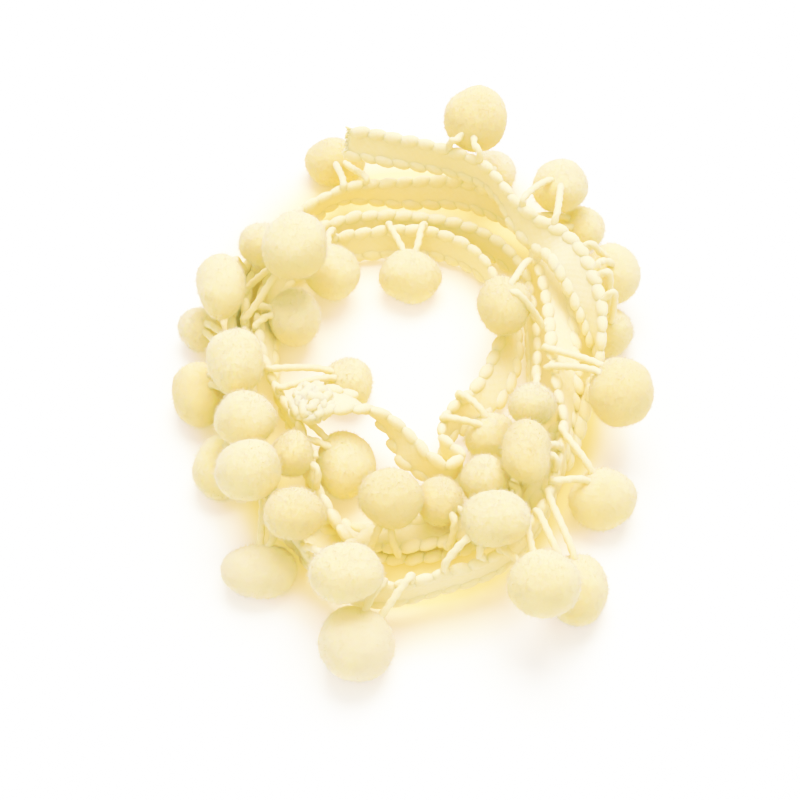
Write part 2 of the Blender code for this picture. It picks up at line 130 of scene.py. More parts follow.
INNER_TURN = (
    (-15.5, 57.5, 12.3, 12), (-3.0, 59.5, 12.3, 14), (8.5, 59.0, 12.3, 12),
    (18.0, 54.5, 12.3, 5), (24.5, 46.5, 12.3, -5), (27.0, 35.0, 12.3, -24),
    (26.5, 23.5, 11.5, -40), (23.0, 13.0, 11.0, -50), (19.0, 5.5, 11.0, -42),
    (14.5, 0.0, 12.0, -22),
)
TURN_BACK = (
    (11.5, -6.0, 13.5, -8), (11.0, -12.5, 14.5, 0), (13.5, -16.0, 15.5, 0),
    (15.5, -19.5, 16.5, 0), (13.0, -22.5, 17.0, -4), (9.0, -21.5, 17.8, -12),
)
LOOSE_END = (
    (5.0, -17.0, 18.8, -28), (0.0, -12.6, 20.0, -3), (-5.2, -10.3, 21.5, 24),
    (-10.4, -10.8, 22.5, 58), (-15.5, -11.8, 23.0, 75), (-20.0, -12.3, 23.0, 75),
)
BRAID_ROUTE = [Row(*place) for place in (
    FIRST_TURN + SECOND_TURN + THIRD_TURN + INNER_TURN + TURN_BACK + LOOSE_END
)]

POMPOMS = [Pompom(*values) for values in (
    (21.0, 81.5, 32.5, 18.5, 18.5, 0, 35, 10, 3.0, 0.4),
    (45.0, 67.0, 21.0, 16.0, 15.5, 0, 64, 10, 1.0, 0.8),
    (58.5, 40.0, 15.5, 18.5, 15.5, 90, 84, 7, 1.0, 1.5),
    (57.5, 26.5, LYING, 14.0, 14.0, 0, 94, 7, 6.5, 1.5),
    (-35.5, -49.0, LYING, 20.0, 14.0, 0, 239, 10, 1.0, 0.8),
    (-47.5, -18.0, LYING, 19.0, 13.5, 90, 261, 7, 1.0, 1.5),
    (-53.3, 4.8, LYING, 18.5, 16.0, 90, 280, 10, 1.0, 1.5),
    (-55.0, 28.0, LYING, 12.5, 12.5, 0, 291, 7, 1.0, 0.8),
    (-48.0, 30.5, 21.5, 19.5, 14.5, 90, 316, 7, 1.0, 0.4),
    (-19.0, 89.0, LYING, 18.0, 14.0, 0, 364, 7, 1.0, 0.4),
    (27.0, 84.0, LYING, 14.0, 14.0, 0, 400, 10, 1.0, 1.5),
    (51.5, 62.5, LYING, 14.5, 14.5, 0, 423, 7, 2.0, 0.8),
    (28.0, 25.0, 20.5, 17.5, 14.5, 90, 445, 22, 1.0, 3.0),
    (57.6, -3.4, 20.5, 19.0, 17.0, 90, 467, 7, 1.0, 0.8),
    (32.2, -24.0, 23.0, 18.5, 13.0, 90, 499, 7, 1.0, 0.4),
    (52.5, -28.0, LYING, 18.0, 16.5, 0, 498, 16, 1.0, 0.8),
    (44.5, -55.3, LYING, 19.5, 16.0, 90, 513, 7, 1.0, 0.8),
    (23.5, -44.5, 24.5, 17.5, 14.5, 0, 541, 10, 1.0, 0.4),
    (35.0, -61.5, 22.0, 18.0, 17.0, 0, 526, 10, 1.0, 0.0),
    (-10.5, -71.0, LYING, 19.5, 19.0, 0, 558, 7, 4.5, 0.4),
    (-13.0, -60.0, 24.5, 18.5, 15.0, 0, 580, 10, 3.0, 0.0),
    (-26.0, -42.0, 23.0, 15.5, 14.0, 0, 600, 7, 1.0, 0.4),
    (-38.0, -31.0, 26.0, 17.5, 16.0, 0, 612, 10, 1.0, 0.0),
    (-39.5, -13.5, 22.5, 16.5, 15.5, 0, 631, 7, 1.0, 0.4),
    (-43.0, 4.5, 23.0, 18.5, 15.0, 90, 649, 7, 2.0, 0.0),
    (-28.0, 36.5, 32.0, 19.0, 18.0, 90, 666, 10, 1.0, 0.0),
    (-37.5, 45.0, 21.5, 13.5, 13.0, 0, 693, 10, 1.0, 0.4),
    (34.5, -7.5, 20.5, 13.0, 12.0, 0, 814, 10, 3.0, 0.0),
    (22.0, -26.0, 13.0, 13.5, 13.0, 0, 843, 7, 2.0, 0.4),
    (10.5, -33.0, 14.5, 13.5, 12.0, 90, 864, 10, 1.0, 0.8),
    (-2.5, -36.5, 21.5, 16.5, 15.5, 0, 885, 7, 1.0, 0.4),
    (-27.5, -21.5, 19.0, 13.0, 11.5, 90, 917, 10, 1.0, 0.8),
    (-14.2, -17.7, LYING, 18.5, 16.0, 90, 931, 10, 1.0, 0.8),
    (-28.6, 29.0, 10.5, 16.5, 15.0, 90, 970, 7, 1.0, 0.4),
    (-19.0, 44.5, 10.5, 15.5, 15.5, 0, 1004, 10, 1.0, 0.8),
    (3.0, 45.5, LYING, 18.0, 15.5, 0, 1030, 10, 1.0, 0.8),
    (24.3, -8.3, LYING, 14.5, 14.0, 0, 1111, 10, 1.0, 1.5),
    (-14.0, 9.5, LYING, 15.0, 13.5, 90, 948, 7, 1.0, 0.8),
)]


# ---- shader maths


class Signal:
    """A socket in a material, with the arithmetic that a pattern needs."""

    def __init__(self, tree: "Nodes", socket: bpy.types.NodeSocket) -> None:
        """Keep the tree and the socket."""
        self.tree = tree
        self.socket = socket

    def _math(self, operation: str, *values: object) -> "Signal":
        """Return a Math node's result on values."""
        settings = {"operation": operation}
        return self.tree.add("ShaderNodeMath", settings, dict(enumerate(values)))

    def __add__(self, other: object) -> "Signal":
        """Add."""
        return self._math("ADD", self, other)

    __radd__ = __add__

    def __sub__(self, other: object) -> "Signal":
        """Subtract."""
        return self._math("SUBTRACT", self, other)

    def __rsub__(self, other: object) -> "Signal":
        """Subtract from a number."""
        return self._math("SUBTRACT", other, self)

    def __mul__(self, other: object) -> "Signal":
        """Multiply."""
        return self._math("MULTIPLY", self, other)

    __rmul__ = __mul__

    def sine(self) -> "Signal":
        """Return the sine."""
        return self._math("SINE", self)

    def absolute(self) -> "Signal":
        """Return the size without the sign."""
        return self._math("ABSOLUTE", self)


class Nodes:
    """A material's nodes, made one by one by a single method."""

    def __init__(self, name: str) -> None:
        """Start a material with a Principled shader alone."""
        self.material = bpy.data.materials.new(name)
        self.material.use_nodes = True
        self.shader = self.material.node_tree.nodes["Principled BSDF"]

    def add(self, kind: str, settings: dict, values: dict, output: object = 0) -> Signal:
        """Add a node.

        Args:
            kind: the node's type.
            settings: what is set on the node itself, before its sockets are looked up.
            values: a number, colour or Signal for each socket, by name or number.
            output: the output that is returned, by name or number.

        Returns:
            The output as a Signal.
        """
        node = self.material.node_tree.nodes.new(kind)
        for name, value in settings.items():
            setattr(node, name, value)
        for name, value in values.items():
            self.feed(node.inputs[name], value)
        return Signal(self, node.outputs[output])

    def feed(self, socket: bpy.types.NodeSocket, value: object) -> None:
        """Link a Signal to a socket, or set its value."""
        if isinstance(value, Signal):
            self.material.node_tree.links.new(value.socket, socket)
        else:
            socket.default_value = value

    def finish(self, **inputs: object) -> bpy.types.Material:
        """Feed the shader's sockets, with _ for a space in a name, and return the material."""
        for name, value in inputs.items():
            self.feed(self.shader.inputs[name.replace("_", " ")], value)
        return self.material

    def places(self, output: str, scale: Sequence[float] = (1.0, 1.0, 1.0),
               shift: Sequence[float] = (0.0, 0.0, 0.0)) -> Signal:
        """Return Object or UV coordinates, stretched and then shifted."""
        coordinates = self.add("ShaderNodeTexCoord", {}, {}, output)
        values = {"Vector": coordinates, "Scale": scale, "Location": shift}
        return self.add("ShaderNodeMapping", {}, values)

    def noise(self, vector: Signal, scale: float, detail: float = 2.0) -> Signal:
        """Return noise from 0 to 1 with so many features per unit of its coordinates."""
        values = {"Vector": vector, "Scale": scale, "Detail": detail}
        return self.add("ShaderNodeTexNoise", {}, values, "Fac")

    def mix(self, share: object, low: object, high: object) -> Signal:
        """Return a colour from low to high."""
        settings = {"data_type": "RGBA"}
        return self.add("ShaderNodeMix", settings, {0: share, 6: low, 7: high}, 2)

    def bump(self, height: Signal, depth: float) -> Signal:
        """Return a normal for a height of 0 to 1 that stands for a depth in metres."""
        values = {"Height": height, "Distance": depth, "Strength": 1.0}
        return self.add("ShaderNodeBump", {}, values)


# ---- finishes: a pattern's size is in features to the metre, its shares weigh its noises


def blend(shares: Sequence[float], *patterns: Signal) -> Signal:
    """Return the sum of the patterns, each times its share."""
    first, *others = [pattern * share for pattern, share in zip(patterns, shares)]
    return sum(others, first)


@dataclass(frozen=True)
class SoftFinish:
    """What all the trim's yarn shares: two shades of one dye on a soft, faintly fuzzy skin."""

    name: str
    deep: tuple = (0.955, 0.68, 0.28, 1.0)
    light: tuple = (0.98, 0.75, 0.385, 1.0)
    roughness: float = 0.85
    gloss: float = 0.2
    fuzz: tuple = (0.1, 0.5)  # the sheen's weight and roughness
    inside: tuple = (0.45, 0.0014, (1.0, 0.8, 0.4))  # the scattered light's weight and reach
    broad: float = 180.0
    shares: tuple = (0.6, 0.5)
    relief: float = 0.00015

    def coat(self, nodes: Nodes, shade: Signal, raised: Signal) -> bpy.types.Material:
        """Finish a material from its two patterns.

        Args:
            nodes: the material's nodes so far.
            shade: 0 for the deep shade, 1 for the light one.
            raised: how far the relief is raised, from 0 to 1.

        Returns:
            The material.
        """
        weight, reach, colours = self.inside
        return nodes.finish(
            Base_Color=nodes.mix(shade, self.deep, self.light),
            Normal=nodes.bump(raised, self.relief), Roughness=self.roughness,
            Specular_IOR_Level=self.gloss, Sheen_Weight=self.fuzz[0], Sheen_Roughness=self.fuzz[1],
            Subsurface_Weight=weight, Subsurface_Scale=reach, Subsurface_Radius=colours)


@dataclass(frozen=True)
class PileFinish(SoftFinish):
    """Dense cut pile, paler at the tips of its tufts than between them."""

    name: str = "pompom_pile"
    deep: tuple = (0.945, 0.65, 0.255, 1.0)
    light: tuple = (0.96, 0.675, 0.275, 1.0)
    roughness: float = 0.95
    gloss: float = 0.15
    fuzz: tuple = (0.1, 0.6)
    inside: tuple = (0.6, 0.004, (1.0, 0.6, 0.2))
    tuft: float = 420.0
    broad: float = 60.0
    grain: float = 1500.0
    shares: tuple = (0.45, 0.35, 0.35)
    relief: float = 0.00025
    relief_shares: tuple = (0.6, 0.4)

    def material(self) -> bpy.types.Material:
        """Return the pile's material."""
        nodes = Nodes(self.name)
        places = nodes.places("Object")
        tufts = nodes.noise(places, self.tuft, 3.0)
        grain = nodes.noise(places, self.grain)
        broad = nodes.noise(places, self.broad, 1.0)
        return self.coat(nodes, blend(self.shares, tufts, broad, grain),
                         blend(self.relief_shares, tufts, grain))


@dataclass(frozen=True)
class YarnFinish(SoftFinish):
    """Twisted yarn: fine fibres that run along it, on the piece's own UV map in metres."""

    fibres: tuple = (900.0, 14.0, 1.0)

    def material(self) -> bpy.types.Material:
        """Return the yarn's material."""
        nodes = Nodes(self.name)
        fibres = nodes.noise(nodes.places("UV", self.fibres), 1.0, 3.0)
        broad = nodes.noise(nodes.places("Object"), self.broad)
        return self.coat(nodes, blend(self.shares, fibres, broad), fibres)


@dataclass(frozen=True)
class WeaveFinish(SoftFinish):
    """The tape's fine weave: picks across and ribs along, on its UV map in metres."""

    name: str = "braid_weave"
    light: tuple = (0.98, 0.755, 0.40, 1.0)
    roughness: float = 0.88
    inside: tuple = (0.55, 0.0018, (1.0, 0.8, 0.4))
    pick: float = 0.0011  # from one pick to the next
    rib: float = 0.0012
    fibre: float = 1600.0
    broad: float = 150.0
    shares: tuple = (0.15, 0.35, 0.5)
    relief: float = 0.00010
    relief_shares: tuple = (0.5, 0.5)

    def material(self) -> bpy.types.Material:
        """Return the tape's material."""
        nodes = Nodes(self.name)
        places = nodes.add("ShaderNodeTexCoord", {}, {}, "UV")
        along = nodes.add("ShaderNodeSeparateXYZ", {}, {"Vector": places}, "X")
        across = Signal(nodes, along.socket.node.outputs["Y"])
        picks = (along * (math.pi / self.pick)).sine()
        ribs = (across * (math.pi / self.rib)).sine()
        weave = (picks * ribs) * 0.5 + 0.5
        places = nodes.places("Object")
        fibres = nodes.noise(places, self.fibre)
        broad = nodes.noise(places, self.broad)
        return self.coat(nodes, blend(self.shares, weave, fibres, broad),
                         blend(self.relief_shares, weave, fibres))


@dataclass(frozen=True)
class FloorFinish:
    """White studio paper with the faintest grain. Near the trim it takes a yellowish tint as
    painted bounce light, and in an oval band under and round the ring a painted golden shade.

    The paper's emission is an even white, turned golden in the same band as painted light; the
    band's shift, middle and fall go by the oval's half sizes.
    """

    name: str = "studio_paper"
    plain: tuple = (0.97, 0.97, 0.965, 1.0)
    # painted bounce light: a yellowish tint near the trim, and on the next line how far out it
    # fades
    painted_warm_bounce: tuple = (0.97, 0.93, 0.80, 1.0)
    painted_bounce_reach: float = 0.13
    grain: float = 900.0
    shares: tuple = (1.6, 0.02)
    # painted golden shade, laid in the oval band under and round the ring
    under: tuple = (0.93, 0.66, 0.24, 1.0)
    plain_glow: tuple = (0.8, 0.8, 0.8, 1.0)
    # painted light: the golden emission colour of the same band; elsewhere the paper's emission is
    # the even white of the line above
    painted_glow: tuple = (0.95, 0.62, 0.20, 1.0)
    glow_strength: float = 0.35
    # the size and place of the oval band of painted shade and painted golden light
    ring: tuple = (0.050, 0.072)
    ring_shift: tuple = (0.0, -0.14, 0.0)
    ring_middle: float = 0.96
    ring_peak: float = 1.2
    ring_fall: tuple = (1.75, 4.0)

    def material(self) -> bpy.types.Material:
        """Return the paper's material."""
        nodes = Nodes(self.name)
        # the painted bounce tint's share: a spherical falloff from the trim's middle
        places = nodes.places("Object", (1.0 / self.painted_bounce_reach,) * 3)
        settings = {"gradient_type": "SPHERICAL"}
        near = nodes.add("ShaderNodeTexGradient", settings, {"Vector": places}, "Fac")
        grain = nodes.noise(nodes.places("Object"), self.grain)
        oval = (1.0 / self.ring[0], 1.0 / self.ring[1], 1.0)
        round_ring = nodes.places("Object", oval, self.ring_shift)
        settings = {"operation": "LENGTH"}
        reach = nodes.add("ShaderNodeVectorMath", settings, {0: round_ring}, "Value")
        # the painted shade's share: 1 in the band's middle, falling off inside and outside it
        past = reach - self.ring_middle
        inner, outer = self.ring_fall
        fall = past.absolute() * ((outer + inner) / 2)
        under = self.ring_peak - fall - past * ((outer - inner) / 2)
        # painted bounce tint, then painted golden shade, then the emission that turns golden in the
        # band as painted light
        colour = nodes.mix(blend(self.shares, near, grain), self.plain, self.painted_warm_bounce)
        colour = nodes.mix(under, colour, self.under)
        painted_glow = nodes.mix(under, self.plain_glow, self.painted_glow)
        return nodes.finish(Base_Color=colour, Roughness=0.9, Specular_IOR_Level=0.1,
                            Emission_Color=painted_glow, Emission_Strength=self.glow_strength)


# ---- the rim


def between(knots: Sequence[float], four: Sequence[Vector], share: float) -> Vector:
    """Return a point on a centripetal Catmull-Rom curve.

    Args:
        knots: the parameter at each of the four points.
        four: the points, of which the curve runs from the second to the third.
        share: how far along it, from 0 to 1.

    Returns:
        The point.
    """
    t = knots[1] + (knots[2] - knots[1]) * share
    points = list(four)
    for first, span in ((0, 1), (0, 2), (1, 1)):
        ends = [(knots[at], knots[at + span]) for at in range(first, first + len(points) - 1)]
        points = [one * ((high - t) / (high - low)) + other * ((t - low) / (high - low))
                  for one, other, (low, high) in zip(points, points[1:], ends)]
    return points[0]


class Rim:
    """The braid's fringe edge, measured along its length, on the floor's own axes."""

    def __init__(self, rows: Sequence[Row], steps: int) -> None:
        """Run a smooth curve through the rows.

        Args:
            rows: the table of places.
            steps: how many points there are from each row to the next.
        """
        points = [Vector((row.x, row.y, row.rim, row.lean)) for row in rows]
        points.insert(0, points[0] * 2 - points[1])
        points.append(points[-1] * 2 - points[-2])
        values = []
        for index in range(1, len(points) - 2):
            four = points[index - 1:index + 3]
            knots = [0.0]
            for one, other in zip(four, four[1:]):
                knots.append(knots[-1] + math.sqrt((other.xyz - one.xyz).length))
            values += [between(knots, four, step / steps) for step in range(steps)]
        values.append(points[-2])
        self.points = [value.xyz + CENTRE_SHIFT for value in values]
        self.leans = [math.radians(value.w) for value in values]
        self.lengths = [0.0]
        for one, other in zip(self.points, self.points[1:]):
            self.lengths.append(self.lengths[-1] + (other - one).length)

    @property
    def length(self) -> float:
        """The rim's whole length."""
        return self.lengths[-1]

    def at(self, length: float) -> tuple[Vector, Vector, Vector]:
        """Look up the rim at a length.

        Args:
            length: how far along the rim, from the cut end.

        Returns:
            The rim's point, the way the rim runs and the way the braid's width points to the rim.
        """
        index = int(np.searchsorted(self.lengths, length, side="right")) - 1
        index = min(max(index, 0), len(self.points) - 2)
        stretch = self.lengths[index + 1] - self.lengths[index]
        share = (length - self.lengths[index]) / stretch
        one, other = self.points[index], self.points[index + 1]
        lean = self.leans[index] + (self.leans[index + 1] - self.leans[index]) * share
        along = (other - one).normalized()
        left = Vector((-along.y, along.x, 0.0)).normalized()
        width = left * math.sin(lean) + Vector((0.0, 0.0, math.cos(lean)))
        return one.lerp(other, share), along, width

    def square_at(self, length: float) -> tuple[Vector, Vector, Vector, Vector]:
        """Look up the rim, with the width made square to the way it runs.

        Args:
            length: how far along the rim, from the cut end.

        Returns:
            The rim's point and the ways along the braid, up its width and through it.
        """
        point, along, width = self.at(length)
        width = (width - along * width.dot(along)).normalized()
        return point, along, width, width.cross(along)


# ---- mesh helpers


def deselect_all() -> None:
    """Leave nothing selected."""
    bpy.ops.object.select_all(action="DESELECT")


def apply_place() -> None:
    """Move the selected object's place, turn and scale into its mesh."""
    bpy.ops.object.transform_apply(location=True, rotation=True, scale=True)


def modify(piece: bpy.types.Object, kind: str, **settings: object) -> None:
    """Shape the active object with a modifier and apply it.

    Args:
        piece: the object.
        kind: the modifier's type.
        settings: what is set on it, in this order.
    """
    modifier = piece.modifiers.new(kind.lower(), kind)
    for name, value in settings.items():
        setattr(modifier, name, value)
    bpy.ops.object.modifier_apply(modifier=modifier.name)


def mesh_piece(name: str, points: np.ndarray, faces: Sequence[Sequence[int]],
               uv: Optional[np.ndarray] = None) -> bpy.types.Object:
    """Make a mesh object from arrays.

    Args:
        name: the piece's name.
        points: its points in millimetres.
        faces: the numbers of each face's points.
        uv: the UV place of each point, if the piece has a map.

    Returns:
        The new object, linked to the scene.
    """
    mesh = bpy.data.meshes.new(name)
    mesh.from_pydata((points * MM).tolist(), [], [list(face) for face in faces])
    if uv is not None:
        layer = mesh.uv_layers.new(name="UVMap")
        corners = np.empty(len(mesh.loops), dtype=np.int32)
        mesh.loops.foreach_get("vertex_index", corners)
        layer.data.foreach_set("uv", uv[corners].astype(np.float32).ravel())
    mesh.polygons.foreach_set("use_smooth", [True] * len(mesh.polygons))
    mesh.update()
    piece = bpy.data.objects.new(name, mesh)
    bpy.context.scene.collection.objects.link(piece)
    return piece


def loft(rings: np.ndarray, lengths: Sequence[float],
         first: int = 0) -> tuple[np.ndarray, list, np.ndarray]:
    """Join rings of points into a closed tube.

    Args:
        rings: points, as rings by places round each ring by three.
        lengths: how far along each ring is, in millimetres.
        first: the number that the first point gets.

    Returns:
        The points, the faces and each point's UV place in metres.
    """
    count, around = rings.shape[:2]
    middles = [rings[0].mean(0), rings[-1].mean(0)]
    points = np.concatenate([rings.reshape(-1, 3), middles])
    girth = np.linalg.norm(np.roll(rings[0], -1, axis=0) - rings[0], axis=1)
    place = np.concatenate([[0.0], np.cumsum(girth)[:-1]])
    uv = np.stack([np.repeat(np.asarray(lengths), around), np.tile(place, count)], axis=1)
    uv = np.concatenate([uv, [[lengths[0], 0.0], [lengths[-1], 0.0]]]) * MM
    faces = []
    for ring in range(count - 1):
        low = first + ring * around
        high = low + around
        for here in range(around):
            beside = (here + 1) % around
            faces.append((low + here, low + beside, high + beside, high + here))
    last = first + (count - 1) * around
    middle = first + count * around
    for here in range(around):
        beside = (here + 1) % around
        faces.append((middle, first + beside, first + here))
        faces.append((middle + 1, last + here, last + beside))
    return points, faces, uv


@dataclass
class Tubes:
    """Yarns collected into one mesh."""

    sides: int = 10
    plies: int = 2
    groove: float = 0.14
    twist: float = 5.5  # millimetres of yarn for one turn of its plies
    end_size: float = 0.72  # an end's radius as a share of the yarn's
    points: list = field(default_factory=list)
    faces: list = field(default_factory=list)
    uv: list = field(default_factory=list)
    count: int = 0

    def add(self, path: Sequence[Vector], radius: float, phase: float = 0.0,
            taper: float = 1.0) -> None:
        """Add one twisted yarn.

        Args:
            path: the points it follows, in millimetres.
            radius: its radius.
            phase: where its twist starts, in radians.
            taper: its radius at the far end as a share of that at the near end.
        """
        side = (path[1] - path[0]).orthogonal()
        side.normalize()
        last = len(path) - 1
        rings, lengths, length = [], [], 0.0
        for index, point in enumerate(path):
            ahead = path[min(index + 1, last)] - path[max(index - 1, 0)]
            ahead.normalize()
            side = (side - ahead * side.dot(ahead)).normalized()
            other = ahead.cross(side)
            if index:
                length += (point - path[index - 1]).length
            size = radius * (1.0 + (taper - 1.0) * (index / last))
            if index in (0, last):
                size *= self.end_size
            turn = 2 * math.pi * length / self.twist + phase
            ring = []
            for number in range(self.sides):
                angle = 2 * math.pi * number / self.sides
                lobe = 1.0 + self.groove * math.cos(self.plies * (angle - turn))
                out = side * math.cos(angle) + other * math.sin(angle)
                ring.append(point + out * (size * lobe))
            rings.append(ring)
            lengths.append(length)
        points, faces, uv = loft(np.array(rings), lengths, self.count)
        self.points.append(points)
        self.faces += faces
        self.uv.append(uv)
        self.count += len(points)

    def piece(self, name: str) -> bpy.types.Object:
        """Return all the yarns as one object."""
        points, uv = np.concatenate(self.points), np.concatenate(self.uv)
        return mesh_piece(name, points, self.faces, uv)


@dataclass(frozen=True)
class Hairs:
    """Loose fibres of a piece of yarn or pile, each a thin spike that stays above the floor."""

    count: int
    length: tuple
    radius: float = 0.055
    stray: float = 0.42
    seed: int = 0
    scatter: float = 0.12
    sink: float = 0.15
    floor: float = 0.02

    def grow(self, piece: bpy.types.Object, number: int = 0) -> None:
        """Grow the hairs on a piece and join them to it.

        Args:
            piece: the piece, whose points and normals place them.
            number: the piece's number among its like, which is added to the seed.
        """
        rng = np.random.default_rng(self.seed + number)
        count = len(piece.data.vertices)
        place = np.empty(count * 3)
        normal = np.empty(count * 3)
        piece.data.vertices.foreach_get("co", place)
        piece.data.vertices.foreach_get("normal", normal)
        place, normal = place.reshape(-1, 3) / MM, normal.reshape(-1, 3)
        picked = rng.choice(count, self.count, replace=self.count > count)
        root = place[picked] + rng.normal(0.0, self.scatter, (self.count, 3))
        root -= normal[picked] * self.sink
        way = normal[picked] + rng.normal(0.0, self.stray, (self.count, 3))
        way /= np.linalg.norm(way, axis=1)[:, None]
        tip = root + way * rng.uniform(*self.length, self.count)[:, None]
        side = np.cross(way, rng.normal(0.0, 1.0, (self.count, 3)))
        side /= np.linalg.norm(side, axis=1)[:, None]
        other = np.cross(way, side)
        corners = [root + (side * math.cos(angle) + other * math.sin(angle)) * self.radius
                   for angle in (0.0, 2 * math.pi / 3, 4 * math.pi / 3)]
        points = np.stack(corners + [tip], axis=1).reshape(-1, 3)
        points[:, 2] = np.maximum(points[:, 2], self.floor)
        base = np.arange(self.count)[:, None, None] * 4
        faces = base + np.array([[0, 1, 3], [1, 2, 3], [2, 0, 3], [0, 2, 1]])[None]
        hairs = mesh_piece("hairs", points, faces.reshape(-1, 3).tolist())
        deselect_all()
        hairs.select_set(True)
        piece.select_set(True)
        bpy.context.view_layer.objects.active = piece
        bpy.ops.object.join()


def random_way(rng: random.Random) -> Vector:
    """Return a vector with each of its parts drawn from -1 to 1."""
    return Vector([rng.uniform(-1, 1) for _ in range(3)])


def dress(piece: bpy.types.Object, material: bpy.types.Material, slot: str,
          *nodes: str) -> bpy.types.Object:
    """Give a piece its finish, its body and the solids it stands for.

    Args:
        piece: the finished piece.
        material: its material.
        slot: the record's material slot; not used.
        nodes: the CAD nodes it replaces.

    Returns:
        The piece.
    """
    piece.data.materials.clear()
    piece.data.materials.append(material)
    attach(piece, ROOT)
    if nodes:
        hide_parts(*nodes)
    LOG.info("%s: %d faces", piece.name, len(piece.data.polygons))
    return piece


# ---- the braid


@dataclass
class Tape:
    """The flat woven middle of the braid, with low ribs along it and thin edges."""

    rim: Rim
    thick: float = 1.25
    edge_share: float = 0.3  # half the thickness at the edges, as a share of the whole
    margin: float = 0.9  # from the tape's edges to the braid's
    ribs: int = 6
    rib_depth: float = 0.1
    step: float = 1.1

    def outline(self) -> np.ndarray:
        """Return the section as rows of a point's way across the tape and down from the rim."""
        places = np.linspace(self.margin, BRAID_WIDTH - self.margin, 2 * self.ribs + 1)
        half = np.full(len(places), self.thick / 2)
        half[1::2] += self.rib_depth / 2
        half[::2] -= self.rib_depth / 2
        half[0] = half[-1] = self.thick * self.edge_share
        one = np.stack([half, places], axis=1)
        other = np.stack([-half[::-1], places[::-1]], axis=1)
        return np.concatenate([one, other])

    def build(self) -> bpy.types.Object:
        """Return the tape, swept along the rim."""
        outline = self.outline()
        count = int(self.rim.length / self.step)
        rings, lengths = [], []
        for index in range(count + 1):
            length = self.rim.length * index / count
            point, _, width, across = self.rim.square_at(length)
            rings.append([point + across * out - width * down for out, down in outline])
            lengths.append(length)
        points, faces, uv = loft(np.array(rings), lengths)
        return mesh_piece("braid_tape", points, faces, uv)


@dataclass
class EdgeYarn:
    """The bumps of yarn along both edges of the braid, each a twisted bead set a little askew."""

    rim: Rim
    pitch: float = 4.8
    size: tuple = (6.4, 3.9, 2.9)  # along the edge, across it and through the braid
    inset: float = 1.6
    starts: tuple = (0.75, 0.25)  # of the row at the rim and the other one, in pitches
    bead_twist: float = 70.0  # in degrees, as the tilt
    tilt: tuple = (8, 22)
    growth: tuple = (0.92, 1.06)
    play: float = 0.1
    map_radius: float = 1.3
    seed: int = 11
    hairs: Hairs = Hairs(9000, (0.3, 0.8), 0.045, 0.6, seed=12)

    def model_bead(self) -> tuple[np.ndarray, list]:
        """Model one bump and return its points, of unit size, and its faces."""
        deselect_all()
        bpy.ops.mesh.primitive_uv_sphere_add(segments=8, ring_count=6, radius=0.5,
                                             rotation=(0.0, math.pi / 2, 0.0))
        bead = bpy.context.object
        apply_place()
        modify(bead, "SIMPLE_DEFORM", deform_method="TWIST", deform_axis="X",
               angle=math.radians(self.bead_twist))
        points = np.array([list(vertex.co) for vertex in bead.data.vertices])
        faces = [tuple(face.vertices) for face in bead.data.polygons]
        bpy.data.objects.remove(bead, do_unlink=True)
        return points, faces

    def build(self) -> bpy.types.Object:
        """Set the bumps along both edges and return them as one piece."""
        rng = random.Random(self.seed)
        unit, unit_faces = self.model_bead()
        along_edge, across_edge, through = self.size
        edges = ((self.inset, self.starts[0], 1), (BRAID_WIDTH - self.inset, self.starts[1], -1))
        points, faces, uv = [], [], []
        count = int(self.rim.length / self.pitch)
        for index in range(count):
            for edge, start, lean in edges:
                length = self.rim.length * (index + start) / count
                place, along, width, across = self.rim.square_at(length)
                tilt = math.radians(rng.uniform(*self.tilt)) * lean
                long_way = along * math.cos(tilt) + width * math.sin(tilt)
                wide_way = width * math.cos(tilt) - along * math.sin(tilt)
                grow = rng.uniform(*self.growth)
                axes = np.array([long_way * along_edge, wide_way * across_edge,
                                 across * through]) * grow
                centre = np.array(place - width * (edge + rng.uniform(-self.play, self.play)))
                base = len(points) * len(unit)
                points.append(unit @ axes + centre)
                faces += [tuple(number + base for number in face) for face in unit_faces]
                uv.append(np.stack([unit[:, 0] * along_edge + length,
                                    np.arctan2(unit[:, 2], unit[:, 1]) * self.map_radius],
                                   axis=1) * MM)
        yarn = mesh_piece("braid_edge_yarn", np.concatenate(points), faces, np.concatenate(uv))
        self.hairs.grow(yarn)
        return yarn


@dataclass
class CutEnd:
    """The short tails of yarn that stand out of the braid's cut end."""

    rim: Rim
    count: int = 22
    margin: float = 0.9
    sink: float = 0.8  # how far inside the braid the tails start
    play: float = 0.35
    drift: float = 0.8
    reach: tuple = (0.1, 0.9)
    steps: tuple = (0, 0.3, 0.55, 0.8, 1.0)
    radius: tuple = (0.4, 0.55)
    taper: float = 0.8
    seed: int = 8

    def build(self) -> bpy.types.Object:
        """Set the tails side by side across the braid and return them as one piece."""
        rng = random.Random(self.seed)
        start, along, width = self.rim.at(0.0)
        across = width.cross(along)
        room = BRAID_WIDTH - 2 * self.margin
        yarns = Tubes(sides=6, groove=0.1)
        for number in range(self.count):
            down = self.margin + room * number / (self.count - 1)
            place = start - width * down + along * self.sink
            place += across * rng.uniform(-self.play, self.play)
            drift = (width * rng.uniform(-self.drift, self.drift)
                     + across * rng.uniform(-self.drift, self.drift))
            back = along * (self.sink + rng.uniform(*self.reach))
            path = [place + (drift * share - back) * share for share in self.steps]
            yarns.add(path, rng.uniform(*self.radius), rng.uniform(*ANY_PHASE), self.taper)
        return yarns.piece("braid_cut_end")


